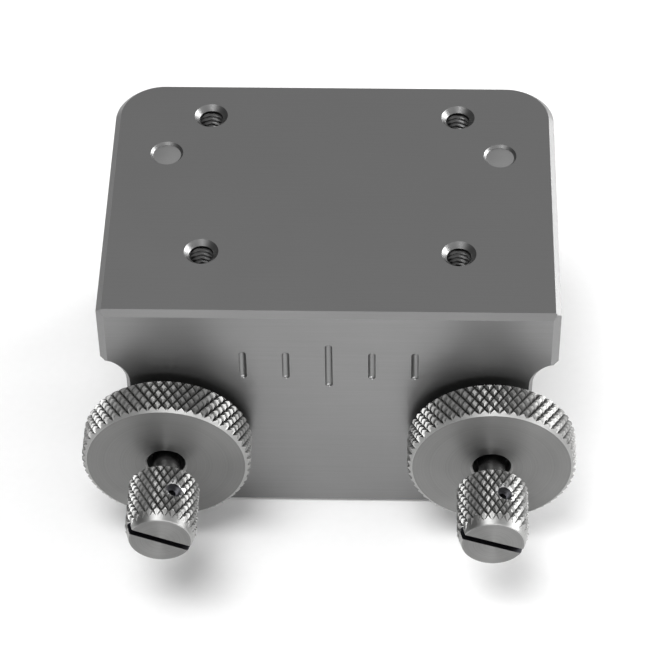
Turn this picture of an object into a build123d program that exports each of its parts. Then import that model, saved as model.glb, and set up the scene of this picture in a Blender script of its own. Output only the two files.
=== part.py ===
"""Watch movement holder: a bridge-shaped block whose clamp jaw is drawn by two hollow
thumb screws, with a fine clamping spindle through the middle of each screw.

The frame is +Z up, +Y towards the rear, millimetres. The origin is the middle of the four
tapped holes, on the flat top face. Depths named *_y are counted from the front face of the
block towards the rear, so what stands out in front of the block has a negative depth.
"""
from build123d import *
import os
from math import cos, radians, sin

os.makedirs("parts", exist_ok=True)

# Block
block_width = 64.0
block_depth = 46.3
block_height = 40.2
edge_chamfer = 0.8
upright_chamfer = 1.1
wall_chamfer = 0.5
rear_corner_radius = 7.0
plate_edge_height = 10.0
wall_width = 57.0
rebate_radius = 4.0
channel_roof = 12.0
channel_radius = 1.5
front_wall = 6.5
rear_wall = 7.0

# Top face: four tapped holes and the two locating posts
hole_spacing_x = 36.0
hole_spacing_y = 27.5
front_row_y = 11.9
tapped_radius = 1.725
tapped_depth = 8.5
tapped_sink_radius = 2.42
sink_angle = 90
post_x = 24.0
post_y = 31.5
post_radius = 2.0
post_sink_radius = 2.35
post_top = 0.5
post_bottom = 34.0
post_end_chamfer = 0.3

# Places along the depth
front_y = -(front_row_y + hole_spacing_y / 2)
middle_y = front_y + block_depth / 2
rear_y = front_y + block_depth
rear_wall_y = block_depth - rear_wall

# Screw axes
screw_x = 23.0
screw_z = -23.85

# Wheel and its hollow screw
wheel_radius = 11.95
wheel_face_radius = 11.2
wheel_back_y = -1.5
wheel_knurl_y = -6.45
wheel_face_y = -6.95
wheel_bore_radius = 2.75
wheel_back_chamfer = 0.4
screw_seat_y = -4.0
screw_radius = 3.95
bush_bore_radius = 4.0
bush_radius = 5.0

# Clamp jaw, guide rods and keepers
jaw_width = 57.0
jaw_top = 12.6
jaw_bottom = 37.0
jaw_front_y = 12.5
jaw_rear_y = 22.0
jaw_edge = 0.6
keeper_thickness = 1.5
keeper_inner_reach = 9.3
keeper_outer_reach = 3.5
keeper_height = 13.0
keeper_corner_radius = 1.0
keeper_slot_radius = 3.1
keeper_screw_x = 6.6
keeper_screw_z = 3.6
keeper_screw_radius = 1.0
keeper_head_radius = 1.5
keeper_head_height = 0.6
keeper_screw_length = 4.0
neck_radius = 2.9
hollow_bore_radius = 2.2
collar_radius = 3.8
collar_thickness = 1.45
collar_play = 0.2
keeper_play = 0.15
collar_pocket_radius = 4.3
rod_x = 10.0
rod_z = -16.4
rod_radius = 2.0
rod_bore_radius = 2.04
rod_front_y = 3.0
rod_rear_inset = 0.5
rod_end_chamfer = 0.3

# Jaw pad and its screws
pad_width = 54.0
pad_thickness = 1.2
pad_top = 19.0
pad_corner_radius = 1.0
pad_screw_x = 14.0
pad_screw_top = 22.0
pad_screw_bottom = 33.5
pad_screw_radius = 1.0
pad_head_radius = 1.9
pad_head_depth = 0.9
pad_screw_length = 5.0
driver_slot_depth = 0.4
driver_slot_width = 0.45

# Spindle, knob and swivel tip
spindle_radius = 1.95
thread_bore_radius = 2.0
spindle_front_y = -17.6
journal_radius = 1.4
journal_clearance = 0.05
journal_end_play = 0.1
insert_radius = 3.2
insert_flange_radius = 4.2
insert_flange = 0.8
tip_radius = 3.4
tip_pocket_radius = 3.8
tip_play = 0.2
tip_recess = 0.3
tip_wall = 0.9
tip_chamfer = 0.4
knob_radius = 5.0
knob_face_radius = 4.4
knob_back_y = -11.15
knob_knurl_y = -18.9
knob_face_y = -20.6
knob_back_chamfer = 0.3
knob_slot_width = 1.0
knob_slot_depth = 1.4
set_screw_y = -15.0
set_screw_radius = 1.05
set_screw_hole_radius = 1.06
set_screw_sink_radius = 1.5
set_screw_hole_bottom = 1.0
set_screw_gap = 0.02
set_screw_top = 3.7
set_screw_socket_radius = 0.6
set_screw_socket_depth = 1.0

# Places along the screw axis that follow from the sizes above
keeper_seat_y = jaw_front_y + keeper_thickness
collar_front_y = keeper_seat_y + keeper_play
collar_rear_y = collar_front_y + collar_thickness
collar_pocket_y = collar_rear_y + collar_play
shoulder_y = jaw_front_y - keeper_play
insert_front_y = 16.3
tip_pocket_y = 19.6
tip_front_y = tip_pocket_y + tip_play
pad_face_y = jaw_rear_y + pad_thickness
tip_face_y = pad_face_y - tip_recess
journal_end_y = tip_face_y - tip_wall

sides = {"left": -1, "right": 1}
slot_angle = {"left": -24.0, "right": -20.5}


def axial_plane(side):
    """Plane through a screw axis: local x is the radius, local y the depth from the front."""
    return Plane(origin=(side * screw_x, front_y, screw_z), x_dir=(1, 0, 0), z_dir=(0, 0, 1))


def cross_plane(side, depth):
    """Plane square to a screw axis at a depth: local x is +X, local y is +Z."""
    return Plane(origin=(side * screw_x, front_y + depth, screw_z), x_dir=(1, 0, 0), z_dir=(0, -1, 0))


def screw_axis(side):
    """Axis of a wheel and its spindle, towards the rear."""
    return Axis((side * screw_x, front_y, screw_z), (0, 1, 0))


def finish(name, part):
    """Label a finished piece and write its STEP file."""
    part.label = name
    export_step(part, f"parts/{name}.step")


def make_body():
    """The block: mounting plate on top, and the front and rear walls that it stands on."""
    wall_edge = wall_width / 2
    with BuildPart() as body:
        with BuildSketch(Plane.XY.offset(-block_height)) as plan:
            with Locations((0, middle_y)):
                Rectangle(block_width, block_depth)
            fillet(plan.vertices().group_by(Axis.Y)[-1], rear_corner_radius)
        extrude(amount=block_height)
        chamfer(body.faces().sort_by(Axis.Z)[-1].edges(), edge_chamfer)
        front_uprights = body.edges().filter_by(Axis.Z).group_by(Axis.Y)[0]
        chamfer(front_uprights, upright_chamfer)

        # Rebates along both sides, which leave the walls narrower than the plate
        with BuildSketch(Plane.XZ) as rebates:
            for side in sides.values():
                with Locations((side * (wall_edge + block_width), -(plate_edge_height + block_height))):
                    Rectangle(2 * block_width, 2 * block_height)
            inner_corners = rebates.vertices().group_by(Axis.Y)[-1].filter_by_position(
                Axis.X, -block_width, block_width)
            fillet(inner_corners, rebate_radius)
        extrude(amount=2 * block_depth, both=True, mode=Mode.SUBTRACT)

        # Clamp channel, open below and at both sides
        with BuildSketch(Plane.YZ) as channel:
            with Locations((front_y + (front_wall + rear_wall_y) / 2, -(channel_roof + block_height))):
                Rectangle(rear_wall_y - front_wall, 2 * block_height)
            fillet(channel.vertices().group_by(Axis.Y)[-1], channel_radius)
        extrude(amount=block_width, both=True, mode=Mode.SUBTRACT)

        front_face = body.faces().filter_by(Axis.Y).sort_by(Axis.Y)[0]
        lower_edges = front_face.edges().filter_by_position(
            Axis.Z, -block_height - edge_chamfer, -plate_edge_height + wall_chamfer / 5)
        chamfer(lower_edges, wall_chamfer)
        rear_face = body.faces().filter_by(Axis.Y).sort_by(Axis.Y)[-1]
        chamfer(rear_face.edges().sort_by(Axis.Z)[0], wall_chamfer)

        # Four tapped holes
        with GridLocations(hole_spacing_x, hole_spacing_y, 2, 2):
            CounterSinkHole(tapped_radius, tapped_sink_radius, tapped_depth, sink_angle)

        # Holes of the two locating posts
        with Locations(*[(side * post_x, front_y + post_y, 0) for side in sides.values()]):
            CounterSinkHole(post_radius, post_sink_radius, channel_roof + channel_radius, sink_angle)

        # Seats of the threaded bushes, through the front wall
        for side in sides.values():
            with BuildSketch(cross_plane(side, 0)):
                Circle(bush_radius)
            extrude(amount=-front_wall, mode=Mode.SUBTRACT)

        # Guide rod holes, blind in the front wall and through the rear wall
        with BuildSketch(Plane.XZ.offset(-(front_y + rod_front_y))):
            with Locations((-rod_x, rod_z), (rod_x, rod_z)):
                Circle(rod_radius)
        extrude(amount=-block_depth, mode=Mode.SUBTRACT)
    return body.part


def make_locating_post(side):
    """Dowel pressed through the plate, against which the held part is clamped."""
    with BuildPart() as locating_post:
        with BuildSketch(Plane.XY.offset(-post_bottom)):
            with Locations((side * post_x, front_y + post_y)):
                Circle(post_radius)
        extrude(amount=post_bottom - post_top)
        chamfer(locating_post.edges().filter_by(GeomType.CIRCLE), post_end_chamfer)
    return locating_post.part


def make_guide_rod(side):
    """Rod between the two walls, on which the jaw slides."""
    rod_rear_y = block_depth - rod_rear_inset
    with BuildPart() as guide_rod:
        with BuildSketch(Plane.XZ.offset(-(front_y + rod_front_y))):
            with Locations((side * rod_x, rod_z)):
                Circle(rod_radius)
        extrude(amount=-(rod_rear_y - rod_front_y))
        chamfer(guide_rod.edges().filter_by(GeomType.CIRCLE), rod_end_chamfer)
    return guide_rod.part


def make_wall_bush(side):
    """Threaded bush pressed into the front wall."""
    with BuildPart() as wall_bush:
        with BuildSketch(cross_plane(side, 0)):
            Circle(bush_radius)
            Circle(bush_bore_radius, mode=Mode.SUBTRACT)
        extrude(amount=-front_wall)
    return wall_bush.part


def make_wheel(side):
    """Large knurled hand wheel, bored through for the spindle, seated on the hollow screw."""
    rim_back_radius = wheel_radius - wheel_back_chamfer
    with BuildPart() as wheel:
        with BuildSketch(axial_plane(side)):
            with BuildLine():
                Polyline(
                    (wheel_bore_radius, wheel_face_y), (wheel_face_radius, wheel_face_y),
                    (wheel_radius, wheel_knurl_y), (wheel_radius, wheel_back_y - wheel_back_chamfer),
                    (rim_back_radius, wheel_back_y), (screw_radius, wheel_back_y),
                    (screw_radius, screw_seat_y), (wheel_bore_radius, screw_seat_y), close=True)
            make_face()
        revolve(axis=screw_axis(side))
    return wheel.part


def make_hollow_screw(side):
    """Hollow screw of a wheel: thread, then a neck for the keeper and a collar in the jaw."""
    with BuildPart() as hollow_screw:
        with BuildSketch(axial_plane(side)):
            with BuildLine():
                Polyline(
                    (hollow_bore_radius, screw_seat_y), (screw_radius, screw_seat_y),
                    (screw_radius, shoulder_y), (neck_radius, shoulder_y), (neck_radius, collar_front_y),
                    (collar_radius, collar_front_y), (collar_radius, collar_rear_y),
                    (hollow_bore_radius, collar_rear_y), close=True)
            make_face()
        revolve(axis=screw_axis(side))
    return hollow_screw.part


def keeper_middle(side):
    """Local x of the middle of a keeper plate, which reaches inwards from the screw axis."""
    return side * (keeper_outer_reach - keeper_inner_reach) / 2


def keeper_screw_places(side):
    """Local places of a keeper plate's two screws, in the plane square to the screw axis."""
    return [(-side * keeper_screw_x, z) for z in (-keeper_screw_z, keeper_screw_z)]


def make_keeper_plate(side):
    """Plate with an open slot that holds the hollow screw's neck, let into the jaw's front."""
    with BuildPart() as keeper_plate:
        with BuildSketch(cross_plane(side, jaw_front_y)):
            with Locations((keeper_middle(side), 0)):
                RectangleRounded(keeper_inner_reach + keeper_outer_reach, keeper_height,
                                 keeper_corner_radius)
            Circle(keeper_slot_radius, mode=Mode.SUBTRACT)
            with Locations((side * keeper_inner_reach, 0)):
                Rectangle(2 * keeper_inner_reach, 2 * keeper_slot_radius, mode=Mode.SUBTRACT)
            with Locations(*keeper_screw_places(side)):
                Circle(keeper_screw_radius, mode=Mode.SUBTRACT)
        extrude(amount=-keeper_thickness)
    return keeper_plate.part


def make_keeper_screws(side):
    """The two small slotted screws that hold a keeper plate."""
    with BuildPart() as keeper_screws:
        with BuildSketch(cross_plane(side, jaw_front_y)):
            with Locations(*keeper_screw_places(side)):
                Circle(keeper_screw_radius)
        extrude(amount=-keeper_screw_length)
        with BuildSketch(cross_plane(side, jaw_front_y)):
            with Locations(*keeper_screw_places(side)):
                Circle(keeper_head_radius)
        extrude(amount=keeper_head_height)
        with BuildSketch(cross_plane(side, jaw_front_y - keeper_head_height)):
            with Locations(*keeper_screw_places(side)):
                Rectangle(2 * keeper_head_radius, driver_slot_width)
        extrude(amount=-driver_slot_depth, mode=Mode.SUBTRACT)
    return keeper_screws.part


def make_clamp_jaw():
    """Jaw bar that slides on the guide rods, with the seats of the screws, inserts and tips."""
    jaw_height = jaw_bottom - jaw_top
    with BuildPart() as clamp_jaw:
        with BuildSketch(Plane.XZ.offset(-(front_y + jaw_front_y))):
            with Locations((0, -(jaw_top + jaw_height / 2))):
                Rectangle(jaw_width, jaw_height)
        extrude(amount=-(jaw_rear_y - jaw_front_y))
        chamfer(clamp_jaw.edges(), jaw_edge)
        with BuildSketch(Plane.XZ.offset(-(front_y + jaw_front_y))):
            with Locations((-rod_x, rod_z), (rod_x, rod_z)):
                Circle(rod_bore_radius)
        extrude(amount=-block_depth, mode=Mode.SUBTRACT)
        for side in sides.values():
            with BuildSketch(cross_plane(side, jaw_front_y)):
                with Locations((keeper_middle(side), 0)):
                    RectangleRounded(keeper_inner_reach + keeper_outer_reach, keeper_height,
                                     keeper_corner_radius)
            extrude(amount=-keeper_thickness, mode=Mode.SUBTRACT)
            with BuildSketch(axial_plane(side)):
                with BuildLine():
                    Polyline(
                        (0, jaw_front_y), (collar_pocket_radius, jaw_front_y),
                        (collar_pocket_radius, collar_pocket_y), (insert_flange_radius, collar_pocket_y),
                        (insert_flange_radius, insert_front_y + insert_flange),
                        (insert_radius, insert_front_y + insert_flange), (insert_radius, tip_pocket_y),
                        (tip_pocket_radius, tip_pocket_y), (tip_pocket_radius, jaw_rear_y),
                        (0, jaw_rear_y), close=True)
                make_face()
            revolve(axis=screw_axis(side), mode=Mode.SUBTRACT)
            with BuildSketch(cross_plane(side, jaw_front_y)):
                with Locations(*keeper_screw_places(side)):
                    Circle(keeper_screw_radius)
            extrude(amount=-keeper_screw_length, mode=Mode.SUBTRACT)
        with BuildSketch(Plane.XZ.offset(-(front_y + jaw_rear_y))):
            with Locations(*pad_screw_places()):
                Circle(pad_screw_radius)
        extrude(amount=pad_screw_length - pad_thickness, mode=Mode.SUBTRACT)
    return clamp_jaw.part


def make_jaw_insert(side):
    """Threaded insert in the jaw that carries the spindle."""
    with BuildPart() as jaw_insert:
        with BuildSketch(axial_plane(side)):
            with BuildLine():
                Polyline(
                    (thread_bore_radius, insert_front_y), (insert_flange_radius, insert_front_y),
                    (insert_flange_radius, insert_front_y + insert_flange),
                    (insert_radius, insert_front_y + insert_flange), (insert_radius, tip_pocket_y),
                    (thread_bore_radius, tip_pocket_y), close=True)
            make_face()
        revolve(axis=screw_axis(side))
    return jaw_insert.part


def pad_screw_places():
    """Places of the pad's four screws, as (x, z)."""
    return [(x, -z) for x in (-pad_screw_x, pad_screw_x) for z in (pad_screw_top, pad_screw_bottom)]


def make_jaw_pad():
    """Soft facing of the jaw, with holes for the two swivel tips."""
    pad_height = jaw_bottom - pad_top
    with BuildPart() as jaw_pad:
        with BuildSketch(Plane.XZ.offset(-(front_y + jaw_rear_y))):
            with Locations((0, -(pad_top + pad_height / 2))):
                RectangleRounded(pad_width, pad_height, pad_corner_radius)
            with Locations((-screw_x, screw_z), (screw_x, screw_z)):
                Circle(tip_pocket_radius, mode=Mode.SUBTRACT)
        extrude(amount=-pad_thickness)
        with Locations(*[Plane.XZ.offset(-(front_y + pad_face_y)).location * Location((x, z, 0), (0, 180, 0))
                         for x, z in pad_screw_places()]):
            CounterSinkHole(pad_screw_radius, pad_head_radius, pad_thickness, sink_angle)
    return jaw_pad.part


def make_jaw_pad_screws():
    """The four countersunk screws of the pad."""
    shank = pad_screw_length - pad_head_depth
    with BuildPart() as jaw_pad_screws:
        for x, z in pad_screw_places():
            with BuildSketch(Plane(origin=(x, front_y + pad_face_y, z), x_dir=(1, 0, 0), z_dir=(0, 0, 1))):
                with BuildLine():
                    Polyline((0, 0), (pad_head_radius, 0), (pad_screw_radius, -pad_head_depth),
                             (pad_screw_radius, -pad_head_depth - shank), (0, -pad_head_depth - shank),
                             close=True)
                make_face()
            revolve(axis=Axis((x, front_y + pad_face_y, z), (0, 1, 0)))
            with BuildSketch(Plane(origin=(x, front_y + pad_face_y, z), x_dir=(1, 0, 0), z_dir=(0, -1, 0))):
                Rectangle(2 * pad_head_radius, driver_slot_width)
            extrude(amount=driver_slot_depth, mode=Mode.SUBTRACT)
    return jaw_pad_screws.part


def make_spindle(side):
    """Threaded spindle from the knob, through the wheel, to the journal of the swivel tip."""
    with BuildPart() as spindle:
        with BuildSketch(axial_plane(side)):
            with BuildLine():
                Polyline(
                    (0, spindle_front_y), (spindle_radius, spindle_front_y),
                    (spindle_radius, tip_front_y - tip_play), (journal_radius, tip_front_y - tip_play),
                    (journal_radius, journal_end_y), (0, journal_end_y), close=True)
            make_face()
        revolve(axis=screw_axis(side))
    return spindle.part


def make_swivel_tip(side):
    """Pressing tip that turns freely on the spindle's journal."""
    bore = journal_radius + journal_clearance
    with BuildPart() as swivel_tip:
        with BuildSketch(axial_plane(side)):
            with BuildLine():
                Polyline(
                    (bore, tip_front_y), (tip_radius, tip_front_y), (tip_radius, tip_face_y - tip_chamfer),
                    (tip_radius - tip_chamfer, tip_face_y), (0, tip_face_y),
                    (0, journal_end_y + journal_end_play), (bore, journal_end_y + journal_end_play),
                    close=True)
            make_face()
        revolve(axis=screw_axis(side))
    return swivel_tip.part


def set_screw_plane(name, side, radius):
    """Plane square to a knob's set screw, at a radius from the axis, facing outwards."""
    turn = radians(slot_angle[name] + 90)
    outwards = (cos(turn), 0, sin(turn))
    centre = Vector(side * screw_x, front_y + set_screw_y, screw_z) + Vector(*outwards) * radius
    return Plane(origin=centre, x_dir=(0, 1, 0), z_dir=outwards)


def slot_plane(name, side):
    """Plane on a knob's end face, with local x along its driver slot."""
    turn = radians(slot_angle[name])
    origin = (side * screw_x, front_y + knob_face_y, screw_z)
    return Plane(origin=origin, x_dir=(cos(turn), 0, sin(turn)), z_dir=(0, -1, 0))


def make_knob(name, side):
    """Small knurled knob with a driver slot, fixed on the spindle by its set screw."""
    with BuildPart() as knob:
        with BuildSketch(axial_plane(side)):
            with BuildLine():
                Polyline(
                    (0, knob_face_y), (knob_face_radius, knob_face_y), (knob_radius, knob_knurl_y),
                    (knob_radius, knob_back_y - knob_back_chamfer),
                    (knob_radius - knob_back_chamfer, knob_back_y), (spindle_radius, knob_back_y),
                    (spindle_radius, spindle_front_y), (0, spindle_front_y), close=True)
            make_face()
        revolve(axis=screw_axis(side))
        with BuildSketch(slot_plane(name, side)):
            Rectangle(3 * knob_radius, knob_slot_width)
        extrude(amount=-knob_slot_depth, mode=Mode.SUBTRACT)
        with BuildSketch(set_screw_plane(name, side, knob_radius)):
            Circle(set_screw_hole_radius)
        extrude(amount=-(knob_radius - set_screw_hole_bottom), mode=Mode.SUBTRACT)
        with BuildSketch(set_screw_plane(name, side, knob_radius)):
            Circle(set_screw_sink_radius)
        sink = set_screw_sink_radius - set_screw_hole_radius
        extrude(amount=-sink, taper=45, mode=Mode.SUBTRACT)
    return knob.part


def make_knob_set_screw(name, side):
    """Set screw that bears on the spindle, with its key socket."""
    with BuildPart() as knob_set_screw:
        with BuildSketch(set_screw_plane(name, side, set_screw_top)):
            Circle(set_screw_radius)
        extrude(amount=-(set_screw_top - spindle_radius - set_screw_gap))
        with BuildSketch(set_screw_plane(name, side, set_screw_top)):
            RegularPolygon(set_screw_socket_radius, 6)
        extrude(amount=-set_screw_socket_depth, mode=Mode.SUBTRACT)
    return knob_set_screw.part


finish("body", make_body())
finish("clamp_jaw", make_clamp_jaw())
finish("jaw_pad", make_jaw_pad())
finish("jaw_pad_screws", make_jaw_pad_screws())
for name, side in sides.items():
    finish(f"{name}_locating_post", make_locating_post(side))
    finish(f"{name}_guide_rod", make_guide_rod(side))
    finish(f"{name}_wall_bush", make_wall_bush(side))
    finish(f"{name}_wheel", make_wheel(side))
    finish(f"{name}_hollow_screw", make_hollow_screw(side))
    finish(f"{name}_keeper_plate", make_keeper_plate(side))
    finish(f"{name}_keeper_screws", make_keeper_screws(side))
    finish(f"{name}_jaw_insert", make_jaw_insert(side))
    finish(f"{name}_spindle", make_spindle(side))
    finish(f"{name}_swivel_tip", make_swivel_tip(side))
    finish(f"{name}_knob", make_knob(name, side))
    finish(f"{name}_knob_set_screw", make_knob_set_screw(name, side))
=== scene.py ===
"""Watch movement holder: a bridge-shaped block, a clamp jaw drawn by two knurled hand wheels,
and a fine clamping spindle with a small knurled knob through the middle of each wheel.

Everything is in metres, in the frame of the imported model: +Z up, +Y towards the rear.
"""
import logging
import math
from collections.abc import Callable, Sequence
from dataclasses import dataclass
from enum import Enum

import bmesh
import bpy
from mathutils import Matrix, Vector


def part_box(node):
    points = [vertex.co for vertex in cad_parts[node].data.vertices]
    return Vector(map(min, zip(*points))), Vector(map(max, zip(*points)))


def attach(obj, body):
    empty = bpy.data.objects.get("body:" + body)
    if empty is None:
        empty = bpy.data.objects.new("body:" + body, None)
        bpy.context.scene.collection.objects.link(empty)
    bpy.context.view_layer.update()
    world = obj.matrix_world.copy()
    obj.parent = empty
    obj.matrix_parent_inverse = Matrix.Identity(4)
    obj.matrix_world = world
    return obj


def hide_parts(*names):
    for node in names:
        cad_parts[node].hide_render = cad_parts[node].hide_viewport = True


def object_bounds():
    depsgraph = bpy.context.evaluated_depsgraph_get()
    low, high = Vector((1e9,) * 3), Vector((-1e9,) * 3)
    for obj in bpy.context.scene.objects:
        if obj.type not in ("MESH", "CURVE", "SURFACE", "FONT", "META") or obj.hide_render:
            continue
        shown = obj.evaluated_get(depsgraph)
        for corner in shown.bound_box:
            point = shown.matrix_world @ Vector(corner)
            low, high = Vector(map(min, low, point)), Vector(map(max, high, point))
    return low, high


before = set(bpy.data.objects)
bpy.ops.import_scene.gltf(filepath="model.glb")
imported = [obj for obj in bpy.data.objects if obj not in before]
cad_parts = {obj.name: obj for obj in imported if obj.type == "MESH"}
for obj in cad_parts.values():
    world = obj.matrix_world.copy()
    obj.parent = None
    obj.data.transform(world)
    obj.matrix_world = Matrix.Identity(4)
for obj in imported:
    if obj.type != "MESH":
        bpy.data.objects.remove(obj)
cad_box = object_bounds()

log = logging.getLogger("movement_holder")

MM = 0.001
FULL_TURN = 2 * math.pi
MERGE_DISTANCE = 0.0005 * MM
# A vertex this near to a level counts as on it.
CLOSE = 0.01 * MM
# How far past a cut its faces are still picked.
SKIN = 0.02 * MM
# How far a cutter reaches past the stock.
OVERSHOOT = 3.0 * MM
ENVELOPE_OVERSHOOT = 0.6 * MM

# Tones and roughness that all metal finishes share, as shares of the finish's own.
WORN_TONE = 1.25
WORN_ROUGHNESS = 0.75
# Tone of the painted shade at the bottom of a knurl's grooves, as a share of the finish's own.
GROOVE_SHADE_TONE = 0.22
ROUGHNESS_SPREAD = 0.05
MARKS_SHARE = 0.65
RINGS_SHARE = 0.8
# Depths at which the painted shade in a knurl's grooves is full and gone, as shares of a groove.
GROOVE_SHADE_FULL = 0.9
GROOVE_SHADE_GONE = 0.35
# Share of a turn by which highlights on turned faces lie square to the rings.
QUARTER_TURN = 0.25

Point = tuple[float, float]
Place = tuple[float, float, float]
EdgeTest = Callable[[bmesh.types.BMEdge], bool]


class Side(Enum):
    """The two sides of the holder, seen from the front."""

    LEFT = -1
    RIGHT = 1

    @property
    def label(self) -> str:
        """Name of the side, as the CAD nodes use it."""
        return self.name.lower()


class Grain(Enum):
    """Direction of a finish's tool marks."""

    BRUSHED = "long strokes along X, or along Y on the sides"
    TURNED = "rings round the piece's own Y axis"


# ----------------------------------------------------------------------------------------
# Modelling helpers
# ----------------------------------------------------------------------------------------

def deselect() -> None:
    """Leaves object mode with nothing selected."""
    if bpy.context.object and bpy.context.object.mode != "OBJECT":
        bpy.ops.object.mode_set(mode="OBJECT")
    bpy.ops.object.select_all(action="DESELECT")


def take(piece: bpy.types.Object) -> None:
    """Selects one object alone and makes it active."""
    deselect()
    piece.select_set(True)
    bpy.context.view_layer.objects.active = piece


def named(name: str) -> bpy.types.Object:
    """Names the object that an operator has just added, and returns it."""
    piece = bpy.context.object
    piece.name = name
    piece.data.name = name
    return piece


def settle(piece: bpy.types.Object) -> bpy.types.Object:
    """Puts an object's place, turn and scale into its mesh."""
    take(piece)
    bpy.ops.object.transform_apply(location=True, rotation=True, scale=True)
    return piece


def edit_all(piece: bpy.types.Object, mode: str = "VERT") -> None:
    """Opens an object in edit mode with everything selected."""
    take(piece)
    bpy.ops.object.mode_set(mode="EDIT")
    bpy.ops.mesh.select_mode(type=mode)
    bpy.ops.mesh.select_all(action="SELECT")


def edit_edges(piece: bpy.types.Object, wanted: EdgeTest) -> None:
    """Opens an object in edit mode with some edges selected.

    Args:
        piece: The object to open.
        wanted: Says whether an edge is selected.
    """
    take(piece)
    bpy.ops.object.mode_set(mode="EDIT")
    bpy.ops.mesh.select_mode(type="EDGE")
    bpy.ops.mesh.select_all(action="DESELECT")
    mesh = bmesh.from_edit_mesh(piece.data)
    for edge in mesh.edges:
        if wanted(edge):
            edge.select_set(True)
    bmesh.update_edit_mesh(piece.data)


def bevel_edges(piece: bpy.types.Object, wanted: EdgeTest, size: float, segments: int = 1) -> None:
    """Chamfers or rounds the chosen edges.

    Args:
        piece: The object to work on.
        wanted: Says whether an edge is beveled.
        size: Leg of the chamfer, or radius of the rounding.
        segments: One for a chamfer, more for a rounding.
    """
    edit_edges(piece, wanted)
    bpy.ops.mesh.bevel(offset=size, offset_type="OFFSET", segments=segments, profile=0.5,
                       affect="EDGES", clamp_overlap=False)
    bpy.ops.object.mode_set(mode="OBJECT")


def clean(piece: bpy.types.Object) -> bpy.types.Object:
    """Merges doubles and points the faces outwards."""
    edit_all(piece)
    bpy.ops.mesh.remove_doubles(threshold=MERGE_DISTANCE)
    bpy.ops.mesh.normals_make_consistent(inside=False)
    bpy.ops.object.mode_set(mode="OBJECT")
    return piece


def apply_modifier(piece: bpy.types.Object, kind: str, **settings: object) -> bpy.types.Object:
    """Adds one modifier with its settings and applies it.

    Args:
        piece: The object to work on.
        kind: The modifier's type.
        settings: Values of the modifier's properties.

    Returns:
        The same object.
    """
    take(piece)
    modifier = piece.modifiers.new(kind.lower(), kind)
    for key, value in settings.items():
        setattr(modifier, key, value)
    bpy.ops.object.modifier_apply(modifier=modifier.name)
    return piece


def combine(piece: bpy.types.Object, tool: bpy.types.Object, operation: str) -> bpy.types.Object:
    """Cuts, joins or intersects an object with a tool, which is used up.

    Args:
        piece: The object that is kept.
        tool: The other solid.
        operation: DIFFERENCE, UNION or INTERSECT.

    Returns:
        The object that is kept.
    """
    apply_modifier(piece, "BOOLEAN", operation=operation, solver="EXACT", object=tool)
    bpy.data.objects.remove(tool, do_unlink=True)
    return piece


def join(pieces: Sequence[bpy.types.Object]) -> bpy.types.Object:
    """Joins objects that don't touch into the first of them."""
    take(pieces[0])
    for piece in pieces[1:]:
        piece.select_set(True)
    bpy.ops.object.join()
    return pieces[0]


def smooth(piece: bpy.types.Object, angle: float = 32.0) -> bpy.types.Object:
    """Shades a piece smooth below an angle in degrees, with flats kept flat."""
    take(piece)
    bpy.ops.object.shade_smooth_by_angle(angle=math.radians(angle), keep_sharp_edges=False)
    return apply_modifier(piece, "WEIGHTED_NORMAL", mode="FACE_AREA", keep_sharp=True)


def box_stock(name: str, low: Sequence[float], high: Sequence[float]) -> bpy.types.Object:
    """Rectangular stock between two corners.

    Args:
        name: Name of the object.
        low: Lowest corner.
        high: Highest corner.

    Returns:
        The stock, with its place in its mesh.
    """
    deselect()
    centre = [(a + b) / 2 for a, b in zip(low, high)]
    spans = [b - a for a, b in zip(low, high)]
    bpy.ops.mesh.primitive_cube_add(size=1, location=centre, scale=spans)
    return settle(named(name))


def draw_outline(name: str, points: Sequence[Point], closed: bool) -> bpy.types.Object:
    """Draws a chain of edges in the XY plane, a point at a time.

    Args:
        name: Name of the object.
        points: The corners, as (x, y).
        closed: Whether the last corner is joined to the first.

    Returns:
        The outline.
    """
    deselect()
    bpy.ops.mesh.primitive_plane_add(size=MM)
    outline = named(name)
    edit_all(outline)
    bpy.ops.mesh.merge(type="CENTER")
    here = (0.0, 0.0)
    for number, corner in enumerate(points):
        step = (corner[0] - here[0], corner[1] - here[1], 0.0)
        if number == 0:
            bpy.ops.transform.translate(value=step)
        else:
            bpy.ops.mesh.extrude_region_move(TRANSFORM_OT_translate={"value": step})
        here = corner
    if closed:
        mesh = bmesh.from_edit_mesh(outline.data)
        mesh.verts.ensure_lookup_table()
        ends = [vert for vert in mesh.verts if len(vert.link_edges) == 1]
        for vert in mesh.verts:
            vert.select_set(vert in ends)
        bmesh.update_edit_mesh(outline.data)
        bpy.ops.mesh.edge_face_add()
    bpy.ops.object.mode_set(mode="OBJECT")
    return outline


def turn_piece(name: str, profile: Sequence[Point], centre: Sequence[float],
               steps: int = 96) -> bpy.types.Object:
    """Turns a solid of revolution about an axis along Y.

    Args:
        name: Name of the object.
        profile: Corners as (radius, y); a profile that starts and ends on the axis is open,
            and any other is closed into a ring.
        centre: A point of the axis; its y is added to the profile's.
        steps: Number of sides.

    Returns:
        The closed solid, with its place in its mesh.
    """
    on_axis = profile[0][0] == 0 and profile[-1][0] == 0
    piece = draw_outline(name, profile, closed=not on_axis)
    edit_all(piece)
    bpy.ops.mesh.spin(steps=steps, angle=FULL_TURN, center=(0, 0, 0), axis=(0, 1, 0))
    bpy.ops.object.mode_set(mode="OBJECT")
    piece.location = centre
    return clean(settle(piece))


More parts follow.
